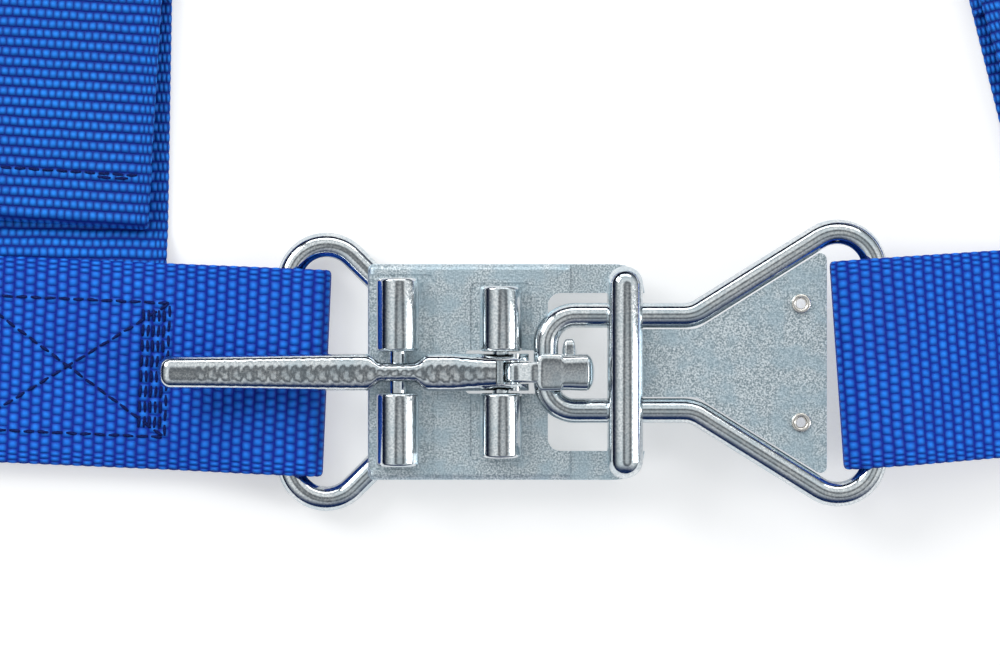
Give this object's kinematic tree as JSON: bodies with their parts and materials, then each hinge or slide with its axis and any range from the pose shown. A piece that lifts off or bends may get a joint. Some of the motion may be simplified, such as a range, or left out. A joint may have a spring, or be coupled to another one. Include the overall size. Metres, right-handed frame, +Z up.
{
  "type": "racing harness",
  "caption": "Latch-and-link racing harness laid flat: lever latch, wire link, lap belts and shoulder belts of blue webbing with slide adjusters and bolt-in anchor plates.",
  "frame": {"origin": "on the table, in the middle of the ground that the laid-out harness covers", "axes": "+X along the lap belts from the latch's strap loop towards the link, +Y towards the shoulder belts' ends, +Z up from the table"},
  "size_m": [0.7196, 0.3886, 0.0237],
  "materials": {
    "zinc_plated_steel": "bright zinc plating over stamped and formed steel",
    "blue_webbing": "ribbed woven webbing",
    "rivet_metal": "plain tubular rivet"
  },
  "bodies": {
    "latch": {"latch_plate": "zinc_plated_steel", "strap_loop": "zinc_plated_steel", "lever_pin": "zinc_plated_steel", "rest_pin": "zinc_plated_steel"},
    "lever": {"latch_lever": "zinc_plated_steel", "hook_pin": "zinc_plated_steel"},
    "hook": {"latch_hook": "zinc_plated_steel"},
    "link": {"link_wire": "zinc_plated_steel", "link_plate": "zinc_plated_steel", "link_rivet_upper": "rivet_metal", "link_rivet_lower": "rivet_metal"},
    "left_belt": {"left_lap_belt": "blue_webbing", "left_shoulder_strap": "blue_webbing", "left_shoulder_adjuster": "zinc_plated_steel", "left_shoulder_belt": "blue_webbing"},
    "left_lap_anchor": {"left_lap_anchor": "zinc_plated_steel"},
    "left_shoulder_anchor": {"left_shoulder_anchor": "zinc_plated_steel"},
    "right_belt": {"right_lap_belt": "blue_webbing", "right_shoulder_strap": "blue_webbing", "right_shoulder_adjuster": "zinc_plated_steel", "right_shoulder_belt": "blue_webbing"},
    "right_lap_anchor": {"right_lap_anchor": "zinc_plated_steel"},
    "right_shoulder_anchor": {"right_shoulder_anchor": "zinc_plated_steel"}
  },
  "joints": [
    {"name": "lever_lift", "type": "hinge", "parent": "latch", "child": "lever", "pos_m": [-0.03004, -0.16066, 0.0134], "axis": [0, 1, 0], "range_deg": [0, 50]},
    {"name": "hook_throw", "type": "hinge", "parent": "lever", "child": "hook", "pos_m": [-0.0266, -0.16066, 0.01661], "axis": [0, -1, 0], "range_deg": [0, 100]},
    {"name": "link_tilt", "type": "hinge", "parent": "latch", "child": "link", "pos_m": [-0.01924, -0.16066, 0.0141], "axis": [0, 1, 0], "range_deg": [-1, 6]},
    {"name": "left_lap_swivel", "type": "hinge", "parent": "latch", "child": "left_belt", "pos_m": [-0.08124, -0.16066, 0.0051], "axis": [0, 1, 0], "range_deg": [-30, 3]},
    {"name": "right_lap_swivel", "type": "hinge", "parent": "link", "child": "right_belt", "pos_m": [0.05956, -0.15846, 0.0141], "axis": [0, 1, 0], "range_deg": [-3, 30]},
    {"name": "left_lap_anchor_swing", "type": "hinge", "parent": "left_belt", "child": "left_lap_anchor", "pos_m": [-0.30263, -0.15099, 0.0053], "axis": [0.0436, 0.999, 0], "range_deg": [0, 100]},
    {"name": "left_shoulder_anchor_swing", "type": "hinge", "parent": "left_belt", "child": "left_shoulder_anchor", "pos_m": [-0.1239, 0.13701, 0.0053], "axis": [0.998, -0.0628, 0], "range_deg": [0, 100]},
    {"name": "right_lap_anchor_swing", "type": "hinge", "parent": "right_belt", "child": "right_lap_anchor", "pos_m": [0.30256, -0.14146, 0.0053], "axis": [0.0698, -0.9976, 0], "range_deg": [0, 100]},
    {"name": "right_shoulder_anchor_swing", "type": "hinge", "parent": "right_belt", "child": "right_shoulder_anchor", "pos_m": [0.05152, 0.13137, 0.0053], "axis": [0.9583, 0.2857, 0], "range_deg": [0, 100]}
  ],
  "couplings": [
    {"joint": "hook_throw", "follows": "lever_lift", "ratio": 2}
  ]
}
